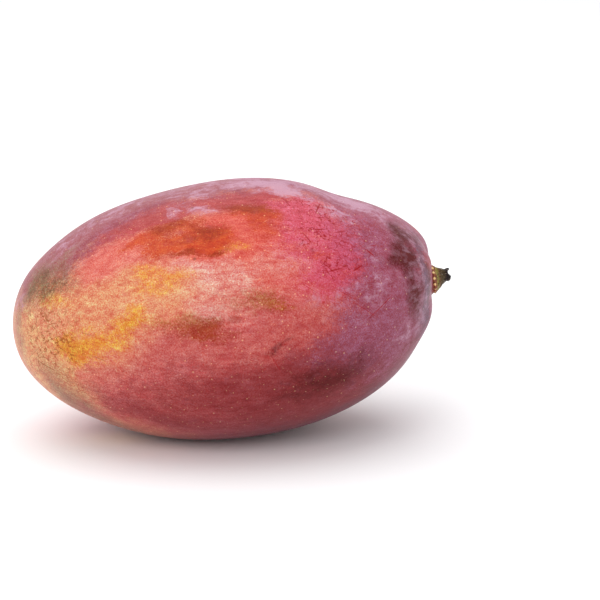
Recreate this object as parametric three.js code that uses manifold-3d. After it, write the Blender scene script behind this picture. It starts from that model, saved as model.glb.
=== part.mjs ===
// A ripe mango lying on its flatter side, with the short stub of stalk that was left when it was picked.
// Millimetres. +X runs from the apex to the stalk, +Y to the far side, +Z up.
// The origin is under the middle of the whole part, on the surface that it lies on.
import * as THREE from "three";
import { mergeVertices } from "three/addons/utils/BufferGeometryUtils.js";
import Module from "manifold-3d";

// The fruit's driving sizes. Its long axis is a gentle curve, and each section across it is an ellipse.
const HALF_LENGTH = 70.3;
const HALF_HEIGHT = 42.5;
const HALF_WIDTH = 45;
const STALK_END_FULLNESS_Z = 3.8; // how much fuller than an ellipsoid the blunt stalk end is, upwards
const STALK_END_FULLNESS_Y = 2.7; // the same, sideways
const APEX_END_FULLNESS = 1.3; // the same at the apex end, both ways
const AXIS_TILT = 2.6; // the axis climbs this much from the middle to the stalk
const AXIS_BEND = -1.6; // and both of its ends droop this much
const AXIS_STALK_RISE = 7.2; // before it turns up into the stalk
const AXIS_SIDE_BEND = 2; // seen from above, both of its ends lean this far to the back

// Broad swells and hollows. along is from -1 at the apex to 1 at the stalk, and turn is in degrees from the
// top of the fruit towards the back. rise is in millimetres, out of the skin.
const SWELLS = [
  { name: "crown", along: 0.33, turn: 0, length: 0.26, width: 50, rise: 1.1 },
  { name: "saddle before the shoulder", along: 0.53, turn: 0, length: 0.12, width: 46, rise: -0.9 },
  { name: "back shoulder", along: 0.68, turn: 105, length: 0.22, width: 42, rise: 1.6 },
  { name: "hollow over the beak", along: -0.72, turn: 88, length: 0.16, width: 34, rise: -1.5 },
  { name: "beak", along: -0.93, turn: 92, length: 0.1, width: 40, rise: 1.1 },
  { name: "front cheek", along: -0.1, turn: -82, length: 0.4, width: 44, rise: 0.8 },
];

// Slow waves that keep the skin from being a perfect surface: height, turns round and waves along.
const WAVES = [
  { height: 0.34, round: 2, along: 4, phase: 0.7 },
  { height: 0.2, round: 3, along: -6, phase: 2.1 },
  { height: 0.13, round: 5, along: 9, phase: 0 },
];

// The shallow cavity round the stalk, the low seat in it that the stalk stands on, and the folds that run
// out of it. The reaches and the middle are sines of the angle from the stalk.
const CAVITY_DEPTH = 2.6;
const CAVITY_REACH = 0.22;
const SEAT_HEIGHT = 1;
const SEAT_REACH = 0.135;
const FOLD_HEIGHT = 0.45;
const FOLD_MIDDLE = 0.32;
const FOLDS = [
  { share: 1, round: 5, phase: 4.5 },
  { share: 0.6, round: 8, phase: 4.9 },
];

const REST_DEPTH = 0.8; // how much of the round underside the flat resting spot takes away
const GAP = 0.3; // between the stalk and the flesh that it grows out of
const FRUIT_SIDES = 72;
const FRUIT_RINGS = 54;

// The stalk's driving sizes. It is a ribbed cone on a warty collar, snapped off at its tip.
const STALK_LENGTH = 6.6; // from the collar's foot to the broken tip
const COLLAR_RADIUS = 5.15;
const RIDGE_RADIUS = 4.95; // the plain ridge next to the collar, where the cone starts
const RIDGE_LEVEL = 1.9; // above the collar's foot, as the other levels
const NECK_RADIUS = 1.95;
const NECK_LEVEL = 5.7;
const TIP_RADIUS = 2.2;
const CRATER_DEPTH = 0.7;
const RAGGED_RISE = 0.25; // of the torn edge round the crater
const STALK_LEAN = 7; // degrees upwards
const TIP_LIFT = 0.9; // how far the cone bends upwards besides
const ROOT_RADIUS = 2.2; // the end of the stalk that is sunk into the flesh
const ROOT_LENGTH = 3;
const ROOT_SIDES = 24;
const COLLAR_SINK = 1.2; // how far the collar goes on below the skin, before the skin is cut out of it
const STALK_SIDES = 48;
const CONE_STEPS = 9;
const RIB_COUNT = 7;
const RIB_HEIGHT = 0.22;
const WART_COUNT = 15;
const WART_HEIGHT = 0.34;
const WART_LEVEL = 0.75;
const WART_REACH = 0.55; // a wart's radius

const SKIN_COLOUR = 0xb8443f;
const STALK_COLOUR = 0x5a4a22;

const wasm = await Module();
wasm.setup();

// A falling bell curve, 1 at nought.
const bell = (distance, reach) => Math.exp(-((distance / reach) ** 2));

// The smaller angle between two directions round the axis, in degrees.
const turnBetween = (a, b) => Math.abs(((((a - b) % 360) + 540) % 360) - 180);

// The relief round the stalk alone: the cavity, the seat in it and the folds that run out of it.
function stalkEndRelief(fromAxis, turn) {
  const cavity = -CAVITY_DEPTH * bell(fromAxis, CAVITY_REACH);
  const seat = SEAT_HEIGHT * Math.exp(-((fromAxis / SEAT_REACH) ** 6));
  const square = (fromAxis / FOLD_MIDDLE) ** 2;
  const foldHeight = FOLD_HEIGHT * (square * Math.exp(1 - square)) ** 2;
  let folds = 0;
  for (const fold of FOLDS) folds += fold.share * Math.cos(fold.round * turn + fold.phase);
  return cavity + seat + foldHeight * folds;
}

// How far the skin stands out of the smooth form in the direction of a unit vector.
function relief(unit) {
  const fromAxis = Math.hypot(unit.y, unit.z);
  const turn = Math.atan2(unit.y, unit.z);
  const turnDegrees = THREE.MathUtils.radToDeg(turn);
  let height = unit.x > 0 ? stalkEndRelief(fromAxis, turn) : 0;
  for (const swell of SWELLS) {
    const beside = turnBetween(turnDegrees, swell.turn) * fromAxis;
    height += swell.rise * bell(unit.x - swell.along, swell.length) * bell(beside, swell.width);
  }
  for (const wave of WAVES) {
    height += wave.height * fromAxis ** 2 * Math.sin(wave.round * turn + wave.along * unit.x + wave.phase);
  }
  return height;
}

// The point of the skin in the direction of a unit vector, pushed out by grow.
function skinPoint(unit, grow) {
  const { x, y, z } = unit;
  const toStalk = Math.max(x, 0) ** 3;
  const toApex = Math.max(-x, 0) ** 3;
  const halfHeight = HALF_HEIGHT + STALK_END_FULLNESS_Z * toStalk + APEX_END_FULLNESS * toApex;
  const halfWidth = HALF_WIDTH + STALK_END_FULLNESS_Y * toStalk + APEX_END_FULLNESS * toApex;
  const axisZ = AXIS_TILT * x + AXIS_BEND * x ** 2 + AXIS_STALK_RISE * Math.max(x, 0) ** 4;
  const axisY = AXIS_SIDE_BEND * x ** 2;
  const outwards = new THREE.Vector3(x / HALF_LENGTH, y / HALF_WIDTH, z / HALF_HEIGHT).normalize();
  const point = new THREE.Vector3(HALF_LENGTH * x, halfWidth * y + axisY, halfHeight * z + axisZ);
  return point.addScaledVector(outwards, relief(unit) + grow);
}

// Where the stalk stands: on its seat in the cavity, leaning upwards from +X.
const stalkPlace = new THREE.Matrix4()
  .makeRotationZ(-Math.PI / 2)
  .premultiply(new THREE.Matrix4().makeRotationY(THREE.MathUtils.degToRad(-STALK_LEAN)))
  .setPosition(skinPoint(new THREE.Vector3(1, 0, 0), 0));

// A closed geometry as a solid.
function solidOf(geometry) {
  const bare = geometry.clone();
  bare.deleteAttribute("normal");
  bare.deleteAttribute("uv");
  const merged = mergeVertices(bare, 1e-4);
  return new wasm.Manifold(
    new wasm.Mesh({
      numProp: 3,
      vertProperties: merged.attributes.position.array,
      triVerts: new Uint32Array(merged.index.array),
    }),
  );
}

// A solid as a geometry.
function geometryOf(solid) {
  const mesh = solid.getMesh();
  const geometry = new THREE.BufferGeometry()
    .setAttribute("position", new THREE.BufferAttribute(mesh.vertProperties, 3))
    .setIndex(new THREE.BufferAttribute(mesh.triVerts, 1));
  geometry.computeVertexNormals();
  return geometry;
}

// The whole round fruit, with no flat spot yet. Its rings lie closer together towards the stalk.
function roundFruit(grow) {
  const geometry = new THREE.SphereGeometry(1, FRUIT_SIDES, FRUIT_RINGS);
  const position = geometry.attributes.position;
  for (let i = 0; i < position.count; i++) {
    const share = Math.floor(i / (FRUIT_SIDES + 1)) / FRUIT_RINGS;
    const fromStalk = (Math.PI * share * (1 + share)) / 2;
    const side = (i % (FRUIT_SIDES + 1)) % FRUIT_SIDES; // the last point of a ring is the first one again
    const turn = (-2 * Math.PI * side) / FRUIT_SIDES;
    const across = Math.sin(fromStalk);
    const unit = new THREE.Vector3(Math.cos(fromStalk), across * Math.sin(turn), across * Math.cos(turn));
    const point = skinPoint(unit, grow);
    position.setXYZ(i, point.x, point.y, point.z);
  }
  return geometry;
}

// The stalk's outline as radius and height above the collar's foot, from below the skin up to the crater.
function stalkProfile() {
  const collar = [
    [COLLAR_RADIUS - 0.5, -COLLAR_SINK],
    [COLLAR_RADIUS - 0.1, -0.3],
    [COLLAR_RADIUS, 0.3],
    [COLLAR_RADIUS, WART_LEVEL],
    [COLLAR_RADIUS - 0.1, 1.1],
    [RIDGE_RADIUS - 0.2, 1.45],
  ];
  const cone = [];
  for (let i = 0; i <= CONE_STEPS; i++) {
    const share = i / CONE_STEPS;
    cone.push([
      NECK_RADIUS + (RIDGE_RADIUS - NECK_RADIUS) * (1 - share) ** 1.25,
      RIDGE_LEVEL + (NECK_LEVEL - RIDGE_LEVEL) * share,
    ]);
  }
  const tip = [
    [TIP_RADIUS, STALK_LENGTH - 0.5],
    [TIP_RADIUS, STALK_LENGTH - 0.15],
    [TIP_RADIUS * 0.82, STALK_LENGTH],
    [TIP_RADIUS * 0.5, STALK_LENGTH - CRATER_DEPTH],
    [0, STALK_LENGTH - CRATER_DEPTH * 0.8],
  ];
  const outline = [[0, -COLLAR_SINK], ...collar, ...cone, ...tip];
  return outline.map(([radius, height]) => new THREE.Vector2(radius, height));
}

// How far the stalk's side stands out at a height and a turn: ribs up the cone and warts on the collar.
function stalkRelief(height, turn) {
  const rising = THREE.MathUtils.smoothstep(height, WART_LEVEL, RIDGE_LEVEL + 0.6);
  const falling = 1 - 0.5 * THREE.MathUtils.smoothstep(height, NECK_LEVEL - 1.7, NECK_LEVEL);
  const ribs = RIB_HEIGHT * rising * falling * Math.cos(RIB_COUNT * turn + 0.5 * height);
  const between = (2 * Math.PI) / WART_COUNT;
  const aside = (turn - between * Math.round(turn / between)) * COLLAR_RADIUS;
  const warts = WART_HEIGHT * bell(Math.hypot(aside, height - WART_LEVEL), WART_REACH);
  return ribs + warts;
}

// The stalk standing on its own foot, along +Y, as a solid.
function uprightStalk() {
  const geometry = new THREE.LatheGeometry(stalkProfile(), STALK_SIDES);
  const position = geometry.attributes.position;
  for (let i = 0; i < position.count; i++) {
    const radius = Math.hypot(position.getX(i), position.getZ(i));
    const height = position.getY(i);
    const turn = Math.atan2(position.getX(i), position.getZ(i));
    const onAxis = radius < 0.001;
    const share = onAxis ? 1 : 1 + stalkRelief(height, turn) / radius;
    const torn = !onAxis && height > STALK_LENGTH - 0.3 ? RAGGED_RISE * Math.sin(3 * turn + 1) : 0;
    const lift = TIP_LIFT * THREE.MathUtils.smoothstep(height, RIDGE_LEVEL - 0.5, STALK_LENGTH);
    position.setXYZ(i, position.getX(i) * share, height + torn, position.getZ(i) * share + lift);
  }
  return solidOf(geometry);
}

// A plug on the stalk's own axis, from just inside the collar down into the flesh, in the stalk's place.
function root(radius, depth) {
  const above = 1;
  const geometry = new THREE.CylinderGeometry(radius, radius, depth + above, ROOT_SIDES);
  geometry.translate(0, (above - depth) / 2, 0);
  return solidOf(geometry).transform(stalkPlace.elements);
}

const whole = roundFruit(0);
whole.computeBoundingBox();
const lowest = whole.boundingBox.min.z;
const under = new THREE.BoxGeometry(4 * HALF_LENGTH, 4 * HALF_WIDTH, HALF_HEIGHT);
under.translate(0, 0, lowest + REST_DEPTH - HALF_HEIGHT / 2);

const fruitSolid = solidOf(whole)
  .subtract(solidOf(under))
  .subtract(root(ROOT_RADIUS + GAP, ROOT_LENGTH + GAP));
const stalkSolid = uprightStalk()
  .transform(stalkPlace.elements)
  .subtract(solidOf(roundFruit(GAP)))
  .add(root(ROOT_RADIUS, ROOT_LENGTH));

const fruit = new THREE.Mesh(
  geometryOf(fruitSolid),
  new THREE.MeshStandardMaterial({ color: SKIN_COLOUR, roughness: 0.42, metalness: 0 }),
);
fruit.name = "fruit";

const stalk = new THREE.Mesh(
  geometryOf(stalkSolid),
  new THREE.MeshStandardMaterial({ color: STALK_COLOUR, roughness: 0.8, metalness: 0 }),
);
stalk.name = "stalk";

const mango = new THREE.Group();
mango.name = "mango";
mango.add(fruit, stalk);

// The part's own frame: the middle of its footprint, on the surface that it lies on.
const box = new THREE.Box3().setFromObject(mango);
mango.position.set(-(box.min.x + box.max.x) / 2, -(box.min.y + box.max.y) / 2, -box.min.z);

export default mango;
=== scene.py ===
"""The looks of a whole ripe mango lying on its side, with the short stub of its stalk.

The fruit and its stalk are fine meshes of the same formulas as the solids that they replace. Their colours,
gloss and relief come from nodes. Lengths are in millimetres where a name says MM, and otherwise in metres.
Places on the skin are given by the picture point, in the 600 by 600 frame, where the camera sees them.
"""
import math

import bpy
import numpy as np
from mathutils import Matrix, Vector, noise
from mathutils.bvhtree import BVHTree


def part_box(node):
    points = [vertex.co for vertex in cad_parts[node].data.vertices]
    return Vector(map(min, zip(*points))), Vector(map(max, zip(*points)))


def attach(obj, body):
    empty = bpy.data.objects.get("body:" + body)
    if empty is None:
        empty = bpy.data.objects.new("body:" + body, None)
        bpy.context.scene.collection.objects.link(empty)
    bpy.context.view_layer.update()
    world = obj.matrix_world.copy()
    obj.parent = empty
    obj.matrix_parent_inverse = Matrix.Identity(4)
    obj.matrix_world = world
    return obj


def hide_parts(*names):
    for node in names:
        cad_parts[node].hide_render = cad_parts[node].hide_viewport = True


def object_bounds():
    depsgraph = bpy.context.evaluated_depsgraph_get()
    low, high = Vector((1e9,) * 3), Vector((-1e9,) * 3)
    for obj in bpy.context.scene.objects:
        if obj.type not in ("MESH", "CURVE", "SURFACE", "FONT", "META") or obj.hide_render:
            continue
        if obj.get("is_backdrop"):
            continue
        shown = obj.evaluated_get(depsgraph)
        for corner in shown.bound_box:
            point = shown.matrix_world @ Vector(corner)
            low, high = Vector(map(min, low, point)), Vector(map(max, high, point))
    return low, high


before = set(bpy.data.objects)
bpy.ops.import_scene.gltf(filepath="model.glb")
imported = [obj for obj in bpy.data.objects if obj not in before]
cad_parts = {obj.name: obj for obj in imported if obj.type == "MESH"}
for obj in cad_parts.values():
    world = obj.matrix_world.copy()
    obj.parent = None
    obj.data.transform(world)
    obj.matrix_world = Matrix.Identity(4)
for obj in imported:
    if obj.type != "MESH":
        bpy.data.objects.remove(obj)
CAD_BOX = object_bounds()
MM = 0.001

# The camera: where it stands round the part, and the picture point where the middle of its aim shows.
CAMERA_AZIMUTH = -3.2
CAMERA_ELEVATION = 15.0
CAMERA_DISTANCE = 0.8
PIXELS_PER_MM = 3.0
IMAGE_SIZE = 600
SENSOR_MM = 36.0
AIM = Vector((-0.0036, 0.0001, 0.0431))
AIM_PIXEL = (222.75, 305.5)

# The fruit's form, by its solid's own values, in millimetres and in degrees from the top towards the back.
HALF_LENGTH = 70.3
HALF_HEIGHT = 42.5
HALF_WIDTH = 45.0
STALK_END_FULLNESS_Z = 3.8
STALK_END_FULLNESS_Y = 2.7
APEX_END_FULLNESS = 1.3
AXIS_TILT = 2.6
AXIS_BEND = -1.6
AXIS_STALK_RISE = 7.2
AXIS_SIDE_BEND = 2.0
SWELLS = [
    {"along": 0.33, "turn": 0, "length": 0.26, "width": 50, "rise": 1.1},
    {"along": 0.53, "turn": 0, "length": 0.12, "width": 46, "rise": -0.9},
    {"along": 0.68, "turn": 105, "length": 0.22, "width": 42, "rise": 1.6},
    {"along": -0.72, "turn": 88, "length": 0.16, "width": 34, "rise": -1.5},
    {"along": -0.93, "turn": 92, "length": 0.1, "width": 40, "rise": 1.1},
    {"along": -0.1, "turn": -82, "length": 0.4, "width": 44, "rise": 0.8},
]
WAVES = [
    {"height": 0.34, "round": 2, "along": 4, "phase": 0.7},
    {"height": 0.2, "round": 3, "along": -6, "phase": 2.1},
    {"height": 0.13, "round": 5, "along": 9, "phase": 0.0},
]
CAVITY_DEPTH = 2.6
CAVITY_REACH = 0.22
SEAT_HEIGHT = 1.0
SEAT_REACH = 0.135
FOLD_HEIGHT = 0.45
FOLD_MIDDLE = 0.32
FOLDS = [
    {"share": 1.0, "round": 5, "phase": 4.5},
    {"share": 0.6, "round": 8, "phase": 4.9},
]
REST_DEPTH = 0.8
FRUIT_GRID = 112  # squares along each side of the cube that the fruit's mesh is blown up from

# The stalk's form, mostly by its solid's own values, in millimetres and degrees.
STALK_LENGTH = 6.6
COLLAR_RADIUS = 5.15
RIDGE_RADIUS = 4.95
RIDGE_LEVEL = 1.9
NECK_RADIUS = 1.95
NECK_LEVEL = 5.7
TIP_RADIUS = 2.2
CRATER_DEPTH = 0.7
RAGGED_RISE = 0.35
STALK_LEAN = 7.0
TIP_LIFT = 0.9
COLLAR_SINK = 0.9
CONE_POWER = 1.25
RIB_COUNT = 7
RIB_HEIGHT = 0.24
RIB_TWIST = 0.5
FIBRE_HEIGHT = 0.22
FIBRES_ROUND = 4.5
FIBRES_ALONG = 0.35
CRUMBS = [{"size": 0.9, "height": 0.16}, {"size": 0.35, "height": 0.07}]
TORN_BAND = 0.4
TORN_CRUMBS = {"size": 0.7, "height": 0.3}
TORN_LOBES = 3
WART_COUNT = 15
WART_HEIGHT = 0.34
WART_LEVEL = 0.75
WART_REACH = 0.42
GROOVE_DEPTH = 0.35
GROOVE_LEVEL = 1.4
STALK_SIDES = 240
STALK_RINGS = 90


def srgb(red, green, blue):
    """A colour given by its three screen bytes, as the linear colour that a shader takes."""
    linear = []
    for byte in (red, green, blue):
        value = byte / 255
        linear.append(value / 12.92 if value <= 0.04045 else ((value + 0.055) / 1.055) ** 2.4)
    return (*linear, 1.0)


def bell(distance, reach):
    """A falling bell curve, 1 at nought."""
    return np.exp(-((distance / reach) ** 2))


def smoothstep(value, low, high):
    """A soft step from 0 at low to 1 at high."""
    share = np.clip((value - low) / (high - low), 0, 1)
    return share * share * (3 - 2 * share)


# Form of the fruit


def cube_sphere(count):
    """Unit vectors and quads of a sphere blown up from a cube with count squares along each side."""
    angles = np.linspace(-math.pi / 4, math.pi / 4, count + 1)
    across, up = np.meshgrid(np.tan(angles), np.tan(angles), indexing="ij")
    ones = np.ones_like(across)
    sides = [
        (ones, across, up), (-ones, -across, up), (-across, ones, up),
        (across, -ones, up), (-up, across, ones), (up, across, -ones),
    ]
    points = np.concatenate([np.stack(side, -1).reshape(-1, 3) for side in sides])
    points /= np.linalg.norm(points, axis=1, keepdims=True)
    corner = np.arange(6 * (count + 1) ** 2).reshape(6, count + 1, count + 1)
    quads = np.stack([corner[:, :-1, :-1], corner[:, 1:, :-1], corner[:, 1:, 1:], corner[:, :-1, 1:]], -1)
    _, first, merged = np.unique(points.round(7), axis=0, return_index=True, return_inverse=True)
    return points[first], merged.reshape(-1)[quads.reshape(-1, 4)]


def stalk_end_relief(from_axis, turn):
    """The cavity round the stalk, the seat in it and the folds that run out of it."""
    cavity = -CAVITY_DEPTH * bell(from_axis, CAVITY_REACH)
    seat = SEAT_HEIGHT * np.exp(-((from_axis / SEAT_REACH) ** 6))
    square = (from_axis / FOLD_MIDDLE) ** 2
    folds = sum(fold["share"] * np.cos(fold["round"] * turn + fold["phase"]) for fold in FOLDS)
    return cavity + seat + FOLD_HEIGHT * (square * np.exp(1 - square)) ** 2 * folds


def relief(unit):
    """How far the skin stands out of the smooth form in the direction of unit vectors."""
    x, y, z = unit.T
    from_axis = np.hypot(y, z)
    turn = np.arctan2(y, z)
    height = np.where(x > 0, stalk_end_relief(from_axis, turn), 0)
    for swell in SWELLS:
        aside = np.abs((np.degrees(turn) - swell["turn"] + 540) % 360 - 180) * from_axis
        height += swell["rise"] * bell(x - swell["along"], swell["length"]) * bell(aside, swell["width"])
    for wave in WAVES:
        phase = wave["round"] * turn + wave["along"] * x + wave["phase"]
        height += wave["height"] * from_axis**2 * np.sin(phase)
    return height


def skin_points(unit):
    """The skin's points in the direction of unit vectors, in the formula's own frame, in millimetres."""
    x, y, z = unit.T
    to_stalk = np.maximum(x, 0) ** 3
    to_apex = np.maximum(-x, 0) ** 3
    half_height = HALF_HEIGHT + STALK_END_FULLNESS_Z * to_stalk + APEX_END_FULLNESS * to_apex
    half_width = HALF_WIDTH + STALK_END_FULLNESS_Y * to_stalk + APEX_END_FULLNESS * to_apex
    axis_z = AXIS_TILT * x + AXIS_BEND * x**2 + AXIS_STALK_RISE * np.maximum(x, 0) ** 4
    axis_y = AXIS_SIDE_BEND * x**2
    outwards = unit / np.array([HALF_LENGTH, HALF_WIDTH, HALF_HEIGHT])
    outwards /= np.linalg.norm(outwards, axis=1, keepdims=True)
    points = np.stack([HALF_LENGTH * x, half_width * y + axis_y, half_height * z + axis_z], -1)
    return points + outwards * relief(unit)[:, None]


def mesh_object(name, points, faces):
    """A smooth-shaded mesh object."""
    mesh = bpy.data.meshes.new(name)
    mesh.from_pydata(points.tolist(), [], faces.tolist())
    mesh.validate()
    mesh.shade_smooth()
    piece = bpy.data.objects.new(name, mesh)
    bpy.context.scene.collection.objects.link(piece)
    return piece


def make_fruit():
    """The fine fruit, fitted to the box of its solid, and the map from the formula's frame to the row's."""
    unit, quads = cube_sphere(FRUIT_GRID)
    points = skin_points(unit)
    points[:, 2] = np.maximum(points[:, 2], points[:, 2].min() + REST_DEPTH)
    low, high = (np.array(corner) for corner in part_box("fruit"))
    own_low, own_high = points.min(0), points.max(0)
    scale = (high - low) / (own_high - own_low)
    shift = low - own_low * scale
    return mesh_object("mango_fruit", points * scale + shift, quads), scale, shift


# Form of the stalk


def stalk_outline():
    """Radius and height of the stalk's side, in millimetres, from under the skin to the crater's middle."""
    collar = [
        (COLLAR_RADIUS - 0.5, -COLLAR_SINK),
        (COLLAR_RADIUS - 0.1, -0.3),
        (COLLAR_RADIUS, 0.3),
        (COLLAR_RADIUS, WART_LEVEL),
        (COLLAR_RADIUS - 0.15, 1.05),
        (RIDGE_RADIUS - GROOVE_DEPTH, GROOVE_LEVEL),
    ]
    cone = []
    for share in np.linspace(0, 1, 24):
        radius = NECK_RADIUS + (RIDGE_RADIUS - NECK_RADIUS) * (1 - share) ** CONE_POWER
        cone.append((radius, RIDGE_LEVEL + (NECK_LEVEL - RIDGE_LEVEL) * share))
    tip = [
        (TIP_RADIUS, STALK_LENGTH - 0.5),
        (TIP_RADIUS, STALK_LENGTH - 0.15),
        (TIP_RADIUS * 0.82, STALK_LENGTH),
        (TIP_RADIUS * 0.5, STALK_LENGTH - CRATER_DEPTH),
        (0.0, STALK_LENGTH - CRATER_DEPTH * 0.8),
    ]
    corners = np.array(collar + cone + tip)
    run = np.concatenate([[0], np.cumsum(np.linalg.norm(np.diff(corners, axis=0), axis=1))])
    steps = np.linspace(0, run[-1], STALK_RINGS)
    return np.interp(steps, run, corners[:, 0]), np.interp(steps, run, corners[:, 1])


def fibre(height, turn):
    """Fine fibres along the stalk's side, from -1 to 1."""
    across = (math.cos(turn) * FIBRES_ROUND, math.sin(turn) * FIBRES_ROUND)
    return noise.noise(Vector((*across, height * FIBRES_ALONG)))


def crumb(height, turn, size):
    """Crumbs of bark and torn wood, from -1 to 1."""
    return noise.noise(Vector((math.cos(turn) * 3 / size, math.sin(turn) * 3 / size, height / size)))


def stalk_relief(height, turn):
    """How far the stalk's side stands out: ribs, warts, fibres and crumbs."""
    up_cone = smoothstep(height, WART_LEVEL, RIDGE_LEVEL + 0.6)
    ribs = RIB_HEIGHT * up_cone * (1 - 0.5 * smoothstep(height, NECK_LEVEL - 1.7, NECK_LEVEL))
    ribs *= math.cos(RIB_COUNT * turn + RIB_TWIST * height)
    between = 2 * math.pi / WART_COUNT
    aside = (turn - between * round(turn / between)) * COLLAR_RADIUS
    warts = WART_HEIGHT * bell(math.hypot(aside, height - WART_LEVEL), WART_REACH)
    bark = FIBRE_HEIGHT * up_cone * fibre(height, turn)
    for crumbs in CRUMBS:
        bark += crumbs["height"] * crumb(height, turn, crumbs["size"])
    return ribs + warts + bark


def make_stalk(scale, shift):
    """The fine stalk, fitted to the box of its solid, and the place of its foot and axis."""
    radii, heights = stalk_outline()
    points = []
    for radius, height in zip(radii, heights):
        for side in range(STALK_SIDES):
            turn = 2 * math.pi * side / STALK_SIDES
            fade = min(radius / NECK_RADIUS, 1)
            stand_out = stalk_relief(height, turn) * fade
            torn = 0.0
            if height > STALK_LENGTH - CRATER_DEPTH - 0.1 and radius > 0.3 * TIP_RADIUS:
                rim = smoothstep(height, STALK_LENGTH - TORN_BAND, STALK_LENGTH)
                crumbled = TORN_CRUMBS["height"] * crumb(0, turn, TORN_CRUMBS["size"])
                torn = rim * (RAGGED_RISE * math.sin(TORN_LOBES * turn + 1) + crumbled)
            lift = TIP_LIFT * float(smoothstep(height, RIDGE_LEVEL - 0.5, STALK_LENGTH))
            reach = radius + stand_out
            points.append((-reach * math.cos(turn) - lift, reach * math.sin(turn), height + torn))
    faces = []
    for ring in range(STALK_RINGS - 1):
        for side in range(STALK_SIDES):
            here = ring * STALK_SIDES + side
            beside = ring * STALK_SIDES + (side + 1) % STALK_SIDES
            faces.append((here, here + STALK_SIDES, beside + STALK_SIDES, beside))
    foot = skin_points(np.array([[1.0, 0.0, 0.0]]))[0] * scale + shift
    place = Matrix.Translation(foot) @ Matrix.Rotation(math.radians(90 - STALK_LEAN), 4, "Y")
    placed = np.array([place @ Vector(point) for point in np.array(points) * MM])
    low, high = (np.array(corner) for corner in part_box("stalk"))
    fit = (high - low) / (placed.max(0) - placed.min(0))
    placed = (placed - placed.min(0)) * fit + low
    return mesh_object("mango_stalk", placed, np.array(faces)), place


# The camera


def camera_axes():
    """Unit vectors back to the camera, to the picture's right and up it."""
    azimuth, elevation = math.radians(CAMERA_AZIMUTH), math.radians(CAMERA_ELEVATION)
    back = Vector((
        math.sin(azimuth) * math.cos(elevation),
        -math.cos(azimuth) * math.cos(elevation),
        math.sin(elevation),
    ))
    right = Vector((math.cos(azimuth), math.sin(azimuth), 0))
    return back, right, back.cross(right)


def make_camera():
    """The camera, turned aside a little so that the aim shows off the picture's middle."""
    back, right, up = camera_axes()
    middle = IMAGE_SIZE / 2
    aside = (middle - AIM_PIXEL[0]) / PIXELS_PER_MM * MM
    above = (AIM_PIXEL[1] - middle) / PIXELS_PER_MM * MM
    place = AIM + back * CAMERA_DISTANCE
    data = bpy.data.cameras.new("camera")
    data.sensor_width = SENSOR_MM
    data.lens = PIXELS_PER_MM * CAMERA_DISTANCE / MM / IMAGE_SIZE * SENSOR_MM
    camera = bpy.data.objects.new("camera", data)
    camera.location = place
    look = AIM + right * aside + up * above - place
    camera.rotation_euler = look.to_track_quat("-Z", "Y").to_euler()
    bpy.context.scene.collection.objects.link(camera)
    bpy.context.scene.camera = camera
    return place


class Seen:
    """Finds the skin's point, and the frame of its surface, at a picture point."""

    def __init__(self, fruit, camera_place):
        mesh = fruit.data
        self.tree = BVHTree.FromPolygons([v.co for v in mesh.vertices], [p.vertices for p in mesh.polygons])
        self.eye = camera_place

    def at(self, pixel_x, pixel_y):
        """The point, its outward normal, and the directions along the fruit and up round it."""
        back, right, up = camera_axes()
        aside = (pixel_x - AIM_PIXEL[0]) / PIXELS_PER_MM * MM
        above = (AIM_PIXEL[1] - pixel_y) / PIXELS_PER_MM * MM
        ray = (AIM + right * aside + up * above - self.eye).normalized()
        point, normal, _, _ = self.tree.ray_cast(self.eye, ray)
        if point is None:
            raise ValueError(f"no skin is seen at {pixel_x}, {pixel_y}")
        return self.frame(point, normal)

    def around(self, along, turn):
        """The same, at a share of the length from -1 to 1 and degrees from the top towards the back."""
        across = math.sqrt(1 - along**2)
        unit = Vector((along, across * math.sin(math.radians(turn)), across * math.cos(math.radians(turn))))
        middle = Vector((0, 0, AIM.z))
        ray = Vector((unit.x * HALF_LENGTH, unit.y * HALF_WIDTH, unit.z * HALF_HEIGHT)).normalized()
        point, normal, _, _ = self.tree.ray_cast(middle, ray)
        return self.frame(point, normal)

    def surface(self, item):
        """The same for a mark."""
        return self.at(*item["pixel"]) if "pixel" in item else self.around(*item["side"])

    @staticmethod
    def frame(point, normal):
        """The surface's own frame: point, normal, along the fruit and up round it."""
        along = (Vector((1, 0, 0)) - normal * normal.x).normalized()
        return point, normal, along, normal.cross(along)


# Node helpers


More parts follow.
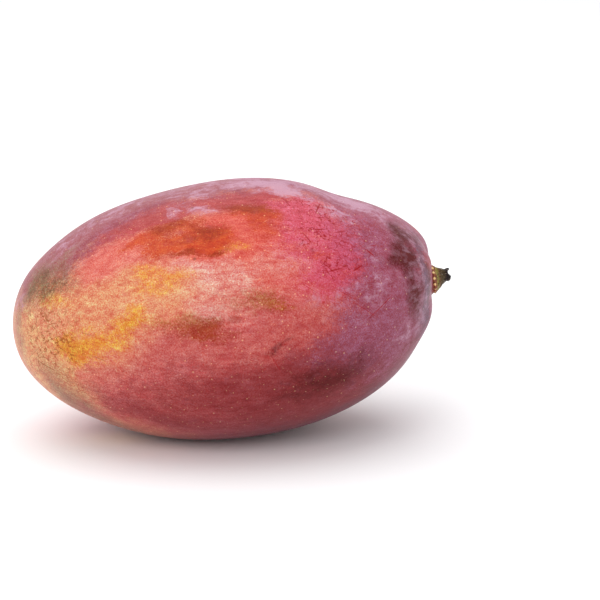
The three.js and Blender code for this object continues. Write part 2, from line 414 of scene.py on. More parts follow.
class Graph:
    """Builds the nodes of a tree. Each call returns the socket of its result."""

    def __init__(self, tree):
        self.tree = tree

    def put(self, socket, value):
        """Links a socket, or sets a number or colour on it."""
        if isinstance(value, bpy.types.NodeSocket):
            self.tree.links.new(value, socket)
        else:
            socket.default_value = value

    def math(self, operation, *values, clamp=False):
        """A Math node."""
        node = self.tree.nodes.new("ShaderNodeMath")
        node.operation = operation
        node.use_clamp = clamp
        for socket, value in zip(node.inputs, values):
            self.put(socket, value)
        return node.outputs[0]

    def vector(self, operation, *values, scale=None):
        """A Vector Math node."""
        node = self.tree.nodes.new("ShaderNodeVectorMath")
        node.operation = operation
        for socket, value in zip(node.inputs, values):
            self.put(socket, value)
        if scale is not None:
            self.put(node.inputs["Scale"], scale)
        single = operation in ("LENGTH", "DOT_PRODUCT", "DISTANCE")
        return node.outputs["Value"] if single else node.outputs["Vector"]

    def split(self, vector):
        """The three parts of a vector."""
        node = self.tree.nodes.new("ShaderNodeSeparateXYZ")
        self.put(node.inputs[0], vector)
        return node.outputs[0], node.outputs[1], node.outputs[2]

    def join(self, x, y, z):
        """A vector of three parts."""
        node = self.tree.nodes.new("ShaderNodeCombineXYZ")
        for socket, value in zip(node.inputs, (x, y, z)):
            self.put(socket, value)
        return node.outputs[0]

    def step(self, value, low, high, start=0.0, end=1.0):
        """A soft step: start at low and end at high."""
        node = self.tree.nodes.new("ShaderNodeMapRange")
        node.interpolation_type = "SMOOTHSTEP"
        node.clamp = False
        for socket, setting in zip(node.inputs, (value, low, high, start, end)):
            self.put(socket, setting)
        return node.outputs[0]

    def noise(self, vector, size, detail=2.0, roughness=0.5, colour=False):
        """Fractal noise with features of a size in the vector's own unit, around 0.5."""
        node = self.tree.nodes.new("ShaderNodeTexNoise")
        self.put(node.inputs["Vector"], vector)
        self.put(node.inputs["Scale"], 1 / size)
        self.put(node.inputs["Detail"], detail)
        self.put(node.inputs["Roughness"], roughness)
        return node.outputs["Color"] if colour else node.outputs["Fac"]

    def cells(self, vector, size):
        """Voronoi cells: the distance to the nearest point, in cell sizes, and the cell's random colour."""
        node = self.tree.nodes.new("ShaderNodeTexVoronoi")
        self.put(node.inputs["Vector"], vector)
        self.put(node.inputs["Scale"], 1 / size)
        return node.outputs["Distance"], node.outputs["Color"]

    def mix(self, share, first, second, blend="MIX"):
        """Two colours mixed."""
        node = self.tree.nodes.new("ShaderNodeMix")
        node.data_type = "RGBA"
        node.blend_type = blend
        self.put(node.inputs[0], share)
        self.put(node.inputs[6], first)
        self.put(node.inputs[7], second)
        return node.outputs[2]

    def ramp(self, value, stops):
        """A colour ramp: stops is a list of places from 0 to 1 and colours."""
        node = self.tree.nodes.new("ShaderNodeValToRGB")
        band = node.color_ramp
        while len(band.elements) < len(stops):
            band.elements.new(0.5)
        for element, (place, colour) in zip(band.elements, stops):
            element.position = place
            element.color = colour
        self.put(node.inputs[0], value)
        return node.outputs[0]

    def far(self, vector, surface, turn, sizes):
        """How far a vector is from a spot on the surface: 1 at the rim of an oval of three half sizes."""
        point, normal, along, up = surface
        angle = math.radians(turn)
        first = along * math.cos(angle) + up * math.sin(angle)
        axes = [first / sizes[0], normal.cross(first) / sizes[1], normal / sizes[2]]
        parts = [self.vector("DOT_PRODUCT", vector, axis) for axis in axes]
        return self.vector("DISTANCE", self.join(*parts), [axis.dot(point) for axis in axes])

    def oval(self, vector, surface, mark):
        """A soft oval on the skin: its strength at the middle and 0 past its rim."""
        depth = max(mark["long"], mark["wide"], OVAL_DEPTH)
        sizes = (mark["long"] * OVAL_GROWTH * MM, mark["wide"] * OVAL_GROWTH * MM, depth * MM)
        distance = self.far(vector, surface, mark["turn"], sizes)
        return self.step(distance, 1.0, mark["flat"], 0.0, mark["strength"])

    def sum_of(self, name, vector, marks, seen):
        """The sum of several ovals, kept in a node group of their own."""
        group = bpy.data.node_groups.new(name, "ShaderNodeTree")
        group.interface.new_socket("Place", in_out="INPUT", socket_type="NodeSocketVector")
        group.interface.new_socket("Sum", in_out="OUTPUT", socket_type="NodeSocketFloat")
        inner = Graph(group)
        place = group.nodes.new("NodeGroupInput").outputs["Place"]
        total = 0.0
        for mark in marks:
            total = inner.math("ADD", inner.oval(place, seen.surface(mark), mark), total)
        inner.put(group.nodes.new("NodeGroupOutput").inputs["Sum"], total)
        node = self.tree.nodes.new("ShaderNodeGroup")
        node.node_tree = group
        self.put(node.inputs["Place"], vector)
        return node.outputs["Sum"]


def new_material(name):
    """A material, the graph of its nodes, its shader node and a place in the object's own frame."""
    material = bpy.data.materials.new(name)
    material.use_nodes = True
    graph = Graph(material.node_tree)
    coordinates = material.node_tree.nodes.new("ShaderNodeTexCoord")
    place = graph.vector("ADD", coordinates.outputs["Object"], (0, 0, 0))
    return material, graph, material.node_tree.nodes["Principled BSDF"], place


# The skin's paint

LIGHT_LEVEL = 1.25  # how bright the studio shows a matt white surface that faces the camera
GLOSS_LEVEL = 0.022  # what the skin's gloss adds to its paint
OVAL_DEPTH = 12.0  # how far an oval of paint reaches below and above the skin, in millimetres
OVAL_GROWTH = 1.15  # what an oval's half sizes grow by for its faint rim
OVAL_FLAT = 0.1  # the share of its half sizes within which an oval is at its full strength


def seen_as(red, green, blue):
    """The paint that shows as a colour of three screen bytes once the studio lights it."""
    return (*(max(value - GLOSS_LEVEL, 0.001) / LIGHT_LEVEL for value in srgb(red, green, blue)[:3]), 1.0)


def mark(x, y, long, wide, turn=0, strength=1.0, flat=OVAL_FLAT):
    """An oval of paint at picture point x, y: half sizes in millimetres, degrees up from the length."""
    return {"pixel": (x, y), "long": long, "wide": wide, "turn": turn, "strength": strength, "flat": flat}


def far_mark(along, back, long, wide, turn=0, strength=1.0):
    """The same at a share of the fruit's length, and at degrees from its top towards its back."""
    item = mark(0, 0, long, wide, turn, strength)
    del item["pixel"]
    return {"side": (along, back), **item}


def coat(name, colour, ragged, dither, most, marks):
    """A layer of paint: how much coarse and fine noise break its edges, how much it covers, its ovals."""
    colour = seen_as(*colour)
    return {"name": name, "colour": colour, "ragged": ragged, "dither": dither, "most": most, "marks": marks}


def line(x0, y0, x1, y1, wide, strength):
    """A fine mark from one picture point to another, with its half width in millimetres."""
    return {"ends": ((x0, y0), (x1, y1)), "wide": wide, "strength": strength}


# The skin's ground colour, from peach to plum. It darkens towards the stalk and downwards; the darkening
# towards the underside is partly painted shade.
BASE_BAND = [
    (-40, seen_as(222, 158, 122)),
    (-20, seen_as(231, 153, 122)),
    (0, seen_as(227, 138, 118)),
    (25, seen_as(224, 122, 120)),
    (40, seen_as(208, 98, 98)),
    (60, seen_as(194, 92, 95)),
    (90, seen_as(158, 80, 88)),
    (112, seen_as(120, 62, 78)),
]
BAND_SLOPE = 1.6  # how much a millimetre down counts for against a millimetre towards the stalk; the darkening downwards is partly painted shade
BAND_LEVEL = 62.0
BAND_TOP = -6.0  # the height over that level, below nought, from which the band no longer changes

# The layers of paint, from the lowest.
LAYERS = [
    coat("peach", (230, 160, 118), 1.2, 1.2, 0.9, [
        mark(140, 290, 28, 15, 6), mark(90, 322, 26, 18), mark(180, 292, 18, 7, 10, 0.6),
        far_mark(-0.4, 110, 30, 18), far_mark(0.1, 120, 24, 12, 0, 0.8),
        far_mark(-0.5, -160, 30, 20, 0, 0.8),
    ]),
    coat("tan", (233, 176, 122), 1.4, 1.2, 0.8, [
        mark(33, 345, 12, 20, 60), mark(68, 380, 20, 10, -28), mark(45, 378, 26, 18, -50),
        far_mark(-0.85, 100, 16, 18, 0, 0.8),
    ]),
    # Painted shade: a darker brown along the lower rim and the apex's left edge, where the fruit turns away
    # from the light.
    coat("painted rim shade", (150, 106, 92), 1.2, 1.2, 0.8, [
        mark(88, 408, 28, 9, -33, 0.9), mark(64, 397, 24, 6, -42, 0.5), mark(19, 325, 14, 5, 85, 0.6),
    ]),
    coat("coral", (224, 100, 88), 1.4, 1.4, 0.9, [
        mark(242, 236, 30, 17), mark(236, 226, 14, 8), mark(118, 250, 20, 7, 20, 0.9),
        mark(190, 256, 20, 6, 5, 0.6), mark(278, 270, 22, 14, 0, 0.7), far_mark(-0.2, 60, 34, 16),
        far_mark(0.35, 75, 26, 16), far_mark(-0.6, 55, 20, 12),
    ]),
    coat("pink", (233, 170, 158), 1.4, 1.4, 0.85, [
        mark(218, 275, 18, 8, 0, 0.8), mark(185, 267, 12, 5, 0, 0.6), mark(228, 298, 16, 7, 10, 0.3),
        mark(101, 250, 7, 4, 25, 0.7), mark(143, 254, 7, 3, 5, 0.9), mark(210, 312, 12, 5, 0, 0.6),
        mark(288, 262, 14, 8, 0, 0.5), far_mark(0.05, 90, 20, 9), far_mark(0.5, 110, 14, 9, 0, 0.7),
    ]),
    coat("coral pink", (228, 127, 114), 2.0, 2.0, 0.85, [
        mark(110, 256, 16, 10, 22), mark(88, 262, 10, 8, 25, 0.9), mark(134, 254, 12, 7, 10, 0.9),
        mark(160, 258, 12, 4, 5, 0.5),
    ]),
    coat("rose", (204, 104, 98), 1.4, 1.4, 0.85, [
        mark(170, 350, 18, 9, 5), mark(238, 352, 26, 12), mark(298, 328, 24, 14, 0, 0.9),
        mark(345, 306, 18, 10, 0, 0.6), mark(160, 394, 34, 14, 0, 0.8), far_mark(0.3, 150, 34, 20, 0, 0.9),
    ]),
    coat("crimson", (216, 92, 114), 2.4, 2.2, 0.9, [
        mark(320, 242, 20, 16, -15), mark(298, 214, 17, 8, -12, 0.9), mark(308, 202, 16, 6, -12, 0.9),
        mark(345, 275, 16, 11, 0, 0.7), mark(268, 206, 14, 4, 0, 0.6), mark(360, 246, 12, 12, 0, 0.6),
        mark(318, 284, 14, 6, 0, 0.5), mark(378, 212, 8, 3, -15, 0.7), far_mark(0.55, 60, 22, 16),
    ]),
    coat("plum red", (184, 70, 76), 1.8, 1.6, 0.9, [
        mark(105, 236, 14, 7, 32, 0.65), mark(130, 222, 18, 9, 24), mark(162, 210, 18, 9, 10),
        mark(195, 208, 16, 7, 5, 0.9), mark(228, 202, 16, 7), mark(250, 196, 16, 8, 0, 0.9),
        mark(270, 196, 10, 4, 0, 0.6), mark(152, 226, 14, 4, 15, 0.6), far_mark(-0.3, 40, 30, 8),
        far_mark(0.2, 42, 24, 8, 0, 0.8),
    ]),
    # Dark wine red low on the front and all over the underside: partly the skin's own colour, partly painted
    # shade under the fruit.
    coat("wine and painted underside shade", (152, 66, 68), 1.4, 1.6, 0.9, [
        mark(300, 382, 34, 12, 5, 0.9), mark(350, 348, 24, 12, 15, 0.8), mark(240, 400, 50, 18),
        mark(330, 400, 40, 18, 10), mark(150, 415, 34, 8, -10, 0.7), far_mark(0.0, 180, 60, 30),
        far_mark(0.3, 165, 40, 20, 0, 0.7),
    ]),
    coat("mauve", (166, 92, 106), 2.4, 1.8, 0.9, [
        mark(24, 286, 10, 14, 60, 0.8), mark(43, 260, 14, 16, 46, 0.9), mark(66, 241, 16, 17, 36),
        mark(66, 262, 13, 9, 38, 0.9), mark(93, 224, 18, 18, 30), mark(125, 206, 18, 18, 22),
        mark(158, 195, 18, 17, 12), mark(192, 188, 18, 16, 6), mark(226, 183, 16, 15, 2),
        mark(258, 181, 14, 13, 0, 0.9), mark(292, 185, 12, 10, -8, 0.6), far_mark(-0.5, 18, 26, 12),
        far_mark(0.0, 18, 30, 10), far_mark(0.5, 20, 22, 14), far_mark(0.8, 45, 16, 24),
        far_mark(0.85, 100, 14, 28), far_mark(0.85, 150, 14, 28), far_mark(0.85, -150, 14, 28, 0, 0.8),
    ]),
    coat("magenta", (194, 88, 114), 2.0, 2.0, 0.8, [
        mark(356, 238, 16, 16, -20, 0.8), mark(352, 268, 14, 12, 0, 0.2), mark(352, 218, 14, 6, -15, 0.7),
    ]),
    coat("dusk", (165, 95, 117), 2.2, 2.2, 0.85, [
        mark(372, 232, 16, 13, -25, 0.9), mark(394, 250, 14, 18, -35), mark(384, 280, 16, 14, 0, 0.8),
        mark(408, 285, 12, 18), mark(376, 308, 20, 12, 10, 0.9), mark(404, 320, 16, 16, 20),
        mark(352, 345, 20, 12, 10, 0.8), mark(424, 310, 10, 16, 20), mark(414, 238, 10, 14, -50),
        mark(345, 204, 14, 8, -15, 0.8), mark(385, 350, 20, 16, 30, 0.8), mark(322, 196, 16, 8, -14, 0.7),
        mark(385, 216, 16, 10, -25), mark(402, 226, 8, 10, -45), far_mark(0.35, 5, 30, 12),
        far_mark(0.65, 5, 16, 14), far_mark(0.93, 15, 14, 16, 0, 0.9), far_mark(0.93, 75, 14, 16, 0, 0.9),
        far_mark(0.95, 160, 12, 16, 0, 0.8), far_mark(0.96, -75, 9, 11, 0, 0.9),
        far_mark(0.85, 42, 11, 13, 0, 0.8),
    ]),
    coat("gold", (234, 162, 34), 2.4, 2.4, 0.75, [
        mark(125, 322, 9, 4, 15, 0.9), mark(138, 308, 6, 3, 20, 0.6), mark(84, 345, 13, 8, 5),
        mark(70, 350, 8, 6, 0, 0.8), mark(148, 268, 6, 4, 0, 0.7), mark(154, 280, 9, 5, 15, 0.5),
        mark(175, 273, 8, 3, 0, 0.5), mark(55, 299, 9, 3, -20, 0.7), mark(108, 338, 9, 4, 10, 0.6),
        mark(234, 246, 7, 3, 10, 0.5), mark(176, 282, 10, 4, 12, 0.5), far_mark(-0.45, 100, 16, 8),
        far_mark(-0.2, 120, 12, 6), far_mark(-0.55, -170, 16, 8),
    ]),
    coat("flame", (206, 79, 12), 2.8, 2.4, 0.87, [
        mark(157, 247, 8, 5, 5), mark(146, 240, 8, 3.5, 12, 0.8), mark(180, 243, 12, 5, 5),
        mark(205, 234, 11, 6, 5), mark(209, 245, 9, 4, 5, 0.8), mark(220, 236, 7, 5, 0, 0.8),
        mark(266, 218, 8, 6), mark(250, 212, 11, 4, 0, 0.8), mark(268, 234, 6, 5, 0, 0.6),
        mark(165, 229, 8, 5, 5, 0.8), mark(185, 226, 8, 5, 0, 0.8), mark(131, 245, 8, 2.5, 14, 0.6),
        mark(322, 258, 5, 3, 0, 0.4), mark(278, 213, 5, 3, 0, 0.6), far_mark(0.1, 62, 16, 7),
        far_mark(-0.15, 66, 10, 5),
    ]),
    coat("ember", (166, 66, 12), 2.6, 2.4, 0.9, [
        mark(162, 229, 6, 4, 0, 0.8), mark(178, 222, 5, 4, 0, 0.6), mark(205, 229, 9, 4, 0, 0.9),
        mark(192, 238, 8, 2, 0, 0.5), mark(236, 206, 10, 2, 0, 0.9), mark(256, 209, 7, 2, -5, 0.8),
        mark(186, 252, 9, 1.4, 3, 0.8), mark(204, 328, 9, 5, 8, 0.8), mark(214, 322, 5, 3, 0, 0.4),
        mark(222, 337, 9, 3, 0, 0.6), mark(180, 332, 8, 4, 10, 0.7), mark(282, 309, 5, 3, 15, 0.6),
        mark(256, 209, 12, 3, -5, 0.8), mark(213, 250, 6, 1.4, 0, 0.6), far_mark(0.05, 56, 9, 3),
    ]),
    coat("ochre", (212, 131, 58), 2.2, 2.2, 0.65, [
        mark(66, 344, 9, 8, 0, 0.8), mark(132, 321, 6, 3, 0, 0.5), mark(170, 320, 11, 4, 8, 0.6),
        mark(276, 309, 7, 2, 0, 0.4), mark(258, 303, 12, 5, 0, 0.3),
    ]),
    coat("smudge", (156, 82, 58), 2.4, 2.4, 0.6, [
        mark(247, 302, 13, 5, 5, 0.5), mark(266, 308, 7, 4, 0, 0.6), mark(176, 324, 12, 4, 5, 0.3),
        mark(192, 321, 10, 3, 5, 0.5),
    ]),
    coat("olive", (152, 124, 92), 1.8, 2.6, 0.75, [
        mark(54, 283, 14, 8, -5, 0.7), mark(40, 274, 9, 8, 35, 0.7), mark(32, 288, 10, 8, 50, 0.7),
        mark(60, 262, 10, 5, 35, 0.5), far_mark(-0.3, 135, 26, 10, 0, 0.7),
        far_mark(-0.75, 60, 12, 12, 0, 0.8),
    ]),
    coat("deep olive", (100, 80, 48), 2.0, 3.2, 0.6, [
        mark(42, 277, 7, 5, 20, 0.7), mark(52, 287, 9, 4, -10, 0.7), mark(34, 283, 5, 4, 40, 0.3),
    ]),
    coat("grey plum", (126, 97, 113), 1.6, 1.6, 0.8, [
        mark(424, 270, 4, 10), mark(427, 295, 4, 12), mark(425, 318, 6, 10), mark(421, 246, 4, 8, 0, 0.6),
    ]),
    # Dark maroon round the stalk end is the skin's own colour. The wide oval low at the front, at 328, 380,
    # is a painted shadow, and the narrow one at 430, 284 is painted shade in the groove between the skin and
    # the stalk's collar.
    coat("maroon and painted shade", (104, 12, 36), 1.8, 1.6, 0.98, [
        mark(399, 231, 6, 8, -25), mark(405, 254, 7, 8, -30), mark(414, 268, 5, 7, -30, 0.8),
        mark(413, 238, 4, 10, -45, 0.6), mark(416, 297, 6, 9, 20), mark(328, 380, 24, 10, 8, 0.9),
        mark(281, 349, 4, 2, 20, 0.6), mark(395, 262, 6, 4, 0, 0.6), mark(430, 284, 3, 9, 0, 0.9),
        far_mark(0.8, 60, 8, 10, 0, 0.8), far_mark(0.75, 130, 10, 8, 0, 0.7),
    ]),
]

# The bloom's pale lilac: partly the skin's own wax, partly painted reflection in the ovals along the top and
# the top rim; the narrow oval at 423, 278 on the stalk's lip is a painted highlight.
BLOOM_AND_REFLECTION_COLOUR = seen_as(216, 172, 193)
BLOOM_AND_REFLECTION_MARKS = [
    mark(178, 209, 7, 5, 0, 0.5), mark(203, 210, 7, 4, 0, 0.6), mark(198, 196, 9, 4, 5, 0.5),
    mark(283, 190, 8, 6, 0, 0.7), mark(305, 195, 12, 4, -15, 0.5), mark(334, 213, 10, 5, -8, 0.85),
    mark(312, 246, 7, 4, 0, 0.25), mark(270, 188, 12, 6, 0, 0.5), mark(255, 183, 12, 5, 0, 0.6),
    mark(354, 205, 12, 7, -18, 0.8), mark(382, 221, 8, 4, -30, 0.3), mark(423, 278, 2.5, 9, 10, 0.5),
    mark(419, 320, 8, 8, 0, 0.4), mark(386, 275, 9, 8, 0, 0.2), mark(405, 332, 8, 5, 20, 0.4),
    mark(372, 250, 8, 5, -20, 0.2), mark(70, 236, 18, 13, 35, 0.3), mark(110, 211, 18, 13, 24, 0.35),
    mark(155, 194, 18, 13, 12, 0.4), mark(200, 186, 18, 12, 5, 0.4), mark(250, 180, 20, 12, 0, 0.5),
    mark(295, 184, 16, 8, -8, 0.5), mark(335, 196, 16, 7, -16, 0.5), mark(372, 208, 14, 7, -20, 0.5),
    mark(402, 219, 10, 5, -40, 0.3), mark(20, 305, 6, 12, 80, 0.3), mark(366, 300, 14, 10, 0, 0.25),
    mark(322, 300, 12, 6, 0, 0.2), far_mark(0.2, 14, 30, 7, 0, 0.7), far_mark(0.7, 60, 14, 16, 0, 0.5),
    far_mark(0.7, 130, 14, 16, 0, 0.5),
]

NOISY_EDGE = 0.3  # the strength of an oval up to which noise fades in
FIELD_GAIN = 0.95  # how much of a layer one oval at its full strength shows
BLOOM_RUBBED = 4.6  # how much coarse noise rubs the patches of bloom off
BLOOM_DITHER = 0.9  # the same for fine noise
# Soft steps: the levels where each starts and ends, and the bloom at both.
BLOOM_PATCHES = (0.0, 1.3, 0.0, 0.75)
BLOOM_STREAKS = (0.44, 0.74)
BLOOM_NEAR_STALK = (40 * MM, 14 * MM, 0.0, 0.7)
BLOOM_VEIL = (0.5, 1.0, 0.0, 0.2)
STREAKS_ALONG = 22.0  # how fast the streaks change along their way, for each metre from the stalk
STREAK_WIDTH = 0.11  # their width as a share of their distance round the stalk

# Short cracks of the outer skin: where they are, orange brown at the apex and dark red near the stalk.
APEX_CRACK_MARKS = [
    mark(45, 325, 16, 14, 0, 0.8), mark(60, 350, 18, 12, 0, 0.9), mark(35, 365, 10, 10, 0, 0.8),
    mark(48, 280, 12, 8, 0, 0.8), far_mark(-0.85, 90, 14, 14), far_mark(-0.85, 180, 14, 14),
]
RED_CRACK_MARKS = [
    mark(310, 228, 14, 10), mark(330, 250, 14, 14, 0, 0.8), mark(345, 275, 12, 9, 0, 0.6),
    mark(340, 222, 12, 8, 0, 0.8), mark(300, 205, 14, 6, -10, 0.9), mark(326, 212, 12, 6, -15, 0.9),
    mark(370, 250, 10, 10, 0, 0.6), mark(285, 350, 14, 8, 0, 0.6), far_mark(0.5, 70, 16, 16),
]

RED_LINES = [
    line(316, 214, 321, 203, 0.3, 0.8), line(312, 230, 328, 229, 0.35, 0.8),
    line(334, 233, 348, 231, 0.3, 0.7), line(303, 232, 312, 243, 0.3, 0.7),
    line(367, 250, 375, 257, 0.3, 0.9), line(367, 247, 380, 245, 0.16, 0.7),
    line(353, 272, 363, 265.5, 0.3, 0.9), line(321, 261, 336, 274, 0.16, 0.8),
    line(333, 244, 350, 247, 0.14, 0.8), line(328, 272, 344, 268, 0.35, 0.7),
    line(366, 322, 398, 291, 0.13, 0.7), line(351, 301, 381, 320, 0.13, 0.7),
    line(336, 289, 359, 302, 0.13, 0.6), line(370, 320, 392, 296, 0.1, 0.5),
    line(270, 354, 281, 373, 0.3, 0.5), line(244, 327, 270, 351, 0.12, 0.4),
    line(283, 197, 291, 206, 0.4, 0.6), line(300, 282, 322, 296, 0.12, 0.5),
]
BROWN_LINES = [
    line(36, 357, 57, 370, 0.2, 0.8), line(57, 370, 69, 381, 0.16, 0.7), line(27, 358, 42, 342, 0.12, 0.5),
    line(31, 361, 45, 347, 0.12, 0.4), line(92, 354, 107, 360, 0.14, 0.7),
    line(80, 330, 93, 334, 0.14, 0.5), line(31, 311, 31, 314.5, 0.3, 0.7), line(42, 314, 45, 314, 0.3, 0.7),
    line(50, 322, 57, 321, 0.25, 0.5), line(44, 329, 50, 329, 0.25, 0.6), line(60, 340, 66, 332, 0.16, 0.5),
]
DOT_LIGHT = (0.24, 0.2, 0.1, 1.0)  # what the pale dots add to the paint
DARK_DOT_SHADE = (0.6, 0.35, 0.35, 1.0)  # what is left of the paint in the dark specks
RED_LINE_COLOUR = seen_as(166, 26, 46)
BROWN_LINE_COLOUR = seen_as(156, 84, 34)
BLEMISH_COLOUR = seen_as(138, 76, 60)
BLEMISH_MARKS = [
    mark(234.5, 319, 2.4, 1.3, -5, 0.5, 0.6), mark(193, 207, 0.6, 0.6, 0, 1.0, 0.5),
    mark(195, 258, 0.6, 0.6, 0, 1.0, 0.5),
]


def layer_mask(graph, seen, warped, coarse, fine, layer):
    """How much of a layer of paint shows: its ovals together, with their edges broken up by noise."""
    field = graph.sum_of(layer["name"], warped, layer["marks"], seen)
    ragged = graph.math("MULTIPLY", coarse, layer["ragged"])
    noise = graph.math("ADD", ragged, graph.math("MULTIPLY", fine, layer["dither"]))
    inside = graph.step(field, 0.0, NOISY_EDGE)
    field = graph.math("MULTIPLY_ADD", noise, inside, field)
    return graph.math("MULTIPLY", graph.math("MULTIPLY", field, FIELD_GAIN, clamp=True), layer["most"])


def base_colour(graph, warped):
    """Peach at the apex, turning rose and plum towards the stalk, and darker downwards to the underside:
    partly the skin's own colour, partly painted shade.
    """
    x, _, z = graph.split(warped)
    below = graph.math("MAXIMUM", graph.math("SUBTRACT", BAND_LEVEL * MM, z), BAND_TOP * MM)
    slope = graph.math("MULTIPLY", below, BAND_SLOPE)
    band = graph.math("ADD", x, slope)
    low, high = BASE_BAND[0][0], BASE_BAND[-1][0]
    share = graph.math("DIVIDE", graph.math("SUBTRACT", band, low * MM), (high - low) * MM, clamp=True)
    return graph.ramp(share, [((place - low) / (high - low), colour) for place, colour in BASE_BAND])


def dots(graph, place, spacing, radius):
    """The skin's pale dots, where its surface cuts small balls spread through space."""
    distance, random = graph.cells(place, spacing * MM)
    first, _, _ = graph.split(random)
    reach = graph.math("MULTIPLY_ADD", first, 0.6 * radius / spacing, 0.7 * radius / spacing)
    return graph.step(graph.math("DIVIDE", distance, reach), 1.1, 0.5)


def cracks(graph, place, spacing, width):
    """Short broken lines, like cracks in the skin's outer layer: where fine noise is close to its middle."""
    noise = graph.noise(place, spacing * MM, detail=4, roughness=0.55)
    from_middle = graph.math("ABSOLUTE", centred(graph, noise))
    elsewhere = graph.vector("ADD", place, (0.3, 0.1, 0.2))
    kept = graph.step(graph.noise(elsewhere, 0.8 * spacing * MM, detail=2, roughness=0.6), 0.47, 0.56)
    return graph.math("MULTIPLY", graph.step(from_middle, width, 0.3 * width), kept)


def line_mask(graph, seen, place, lines, name):
    """The mask of fine marks, each a long thin oval from one picture point to another."""
    marks = []
    for item in lines:
        (x0, y0), (x1, y1) = item["ends"]
        start, end = seen.at(x0, y0)[0], seen.at(x1, y1)[0]
        _, _, along, up = seen.at((x0 + x1) / 2, (y0 + y1) / 2)
        run = end - start
        turn = math.degrees(math.atan2(run.dot(up), run.dot(along)))
        middle, half = ((x0 + x1) / 2, (y0 + y1) / 2), run.length / 2 / MM
        marks.append(mark(*middle, half, item["wide"], turn, item["strength"], 0.5))
    return graph.math("MINIMUM", graph.sum_of(name, place, marks, seen), 1.0)


def stalk_streaks(graph, place, foot):
    """Noise drawn out into streaks that run to the stalk, and how far a place is from the stalk's foot."""
    x, y, z = graph.split(graph.vector("SUBTRACT", place, foot))
    from_axis = graph.vector("LENGTH", graph.join(0.0, y, z))
    from_axis = graph.math("MAXIMUM", from_axis, 0.5 * MM)
    far = graph.vector("LENGTH", graph.join(x, y, z))
    polar = graph.join(
        graph.math("DIVIDE", y, from_axis),
        graph.math("DIVIDE", z, from_axis),
        graph.math("MULTIPLY", far, STREAKS_ALONG),
    )
    return graph.noise(polar, STREAK_WIDTH, detail=5, roughness=0.65), far


def centred(graph, value):
    """Noise moved from around a half to around nought."""
    return graph.math("SUBTRACT", value, 0.5)


def bloom_and_reflection_mask(graph, seen, warped, place, foot, fine):
    """The waxy bloom: a thin veil, thicker in rubbed patches and in streaks that run to the stalk. Its
    patches along the top and the top rim are partly painted reflection, and one at the stalk's lip is a
    painted highlight.
    """
    field = graph.sum_of("bloom", warped, BLOOM_AND_REFLECTION_MARKS, seen)
    stretched = graph.vector("MULTIPLY", warped, (0.7, 1.0, 1.0))
    rubbed = centred(graph, graph.noise(stretched, 3.5 * MM, detail=6, roughness=0.7))
    coarse = graph.math("MULTIPLY", rubbed, BLOOM_RUBBED)
    noise = graph.math("ADD", coarse, graph.math("MULTIPLY", fine, BLOOM_DITHER))
    field = graph.math("MULTIPLY_ADD", noise, graph.step(field, 0.0, NOISY_EDGE), field)
    patches = graph.step(field, *BLOOM_PATCHES)
    streaks, far = stalk_streaks(graph, place, foot)
    near_stalk = graph.step(far, *BLOOM_NEAR_STALK)
    streaks = graph.math("MULTIPLY_ADD", rubbed, 0.5, streaks)
    wiped = graph.math("MULTIPLY", graph.step(streaks, *BLOOM_STREAKS), near_stalk)
    veil = graph.step(graph.math("MULTIPLY_ADD", rubbed, 1.0, 0.5), *BLOOM_VEIL)
    return graph.math("MAXIMUM", graph.math("MAXIMUM", patches, wiped), veil)


def centred_vector(graph, colour):
    """Coloured noise moved from around a half to around nought."""
    return graph.vector("SUBTRACT", colour, (0.5, 0.5, 0.5))


# The skin's speckle, the coarsest first: how its noise is drawn out, its size in millimetres, its tints.
BLOTCH = {
    "size": 4.0, "detail": 7, "roughness": 0.7,
    "low": (0.44, 0.3, 0.32), "high": (0.55, 0.68, 0.69), "share": 0.7,
}
SPECKLES = [
    {
        "drawn": "grain", "size": 2.6, "detail": 5, "roughness": 0.65,
        "low": (0.42, 0.28, 0.3), "high": (0.57, 0.7, 0.7), "share": 0.7,
    },
    {
        "drawn": "streaky", "size": 1.3, "detail": 5, "roughness": 0.65,
        "low": (0.4, 0.22, 0.25), "high": (0.57, 0.73, 0.71), "share": 0.6,
    },
    {
        "drawn": "even", "size": 0.45, "detail": 3, "roughness": 0.7,
        "low": (0.44, 0.16, 0.14), "high": (0.55, 0.8, 0.8), "share": 1.0,
    },
]
SPECKLE_ENDS = (0.32, 0.68)  # the levels of the noise that show its two tints
FINE_NOISE = {"size": 0.55, "detail": 3, "roughness": 0.65}
WANDER = {"size": 12, "reach": 11}  # how far, in millimetres, noise bends the edges of the paint
GRAIN_STRETCH = (0.6, 1.0, 1.0)
STREAKY_STRETCH = (0.4, 1.0, 1.0)
CRACKS = {"spacing": 2.6, "width": 0.045, "apex_share": 0.8, "red_share": 0.8}
PALE_DOTS = {"spacing": 2.2, "radius": 0.25}
SMALL_DOTS = {"spacing": 1.3, "radius": 0.17, "share": 0.5}
DARK_DOTS = {"spacing": 1.05, "radius": 0.17}
DARK_DOT_BLOTCHES = (0.42, 0.58, 0.0, 0.85)
SKIN_SHINE = {"IOR": 1.4, "Specular IOR Level": 0.2, "Sheen Weight": 0.08, "Sheen Roughness": 0.4}
SHEEN_TINT = (0.86, 0.8, 0.95, 1)


def speckled(graph, colour, noise, speckle):
    """A colour made darker and lighter by noise, with tints for the noise's low and high ends."""
    low, high = SPECKLE_ENDS
    tints = graph.ramp(noise, [(low, (*speckle["low"], 1)), (high, (*speckle["high"], 1))])
    return graph.mix(speckle["share"], colour, tints, "OVERLAY")


def crack_mask(graph, seen, warped, broken_lines, name, marks):
    """The cracks that lie within some marks."""
    field = graph.sum_of(name, warped, marks, seen)
    return graph.math("MULTIPLY", broken_lines, field, clamp=True)


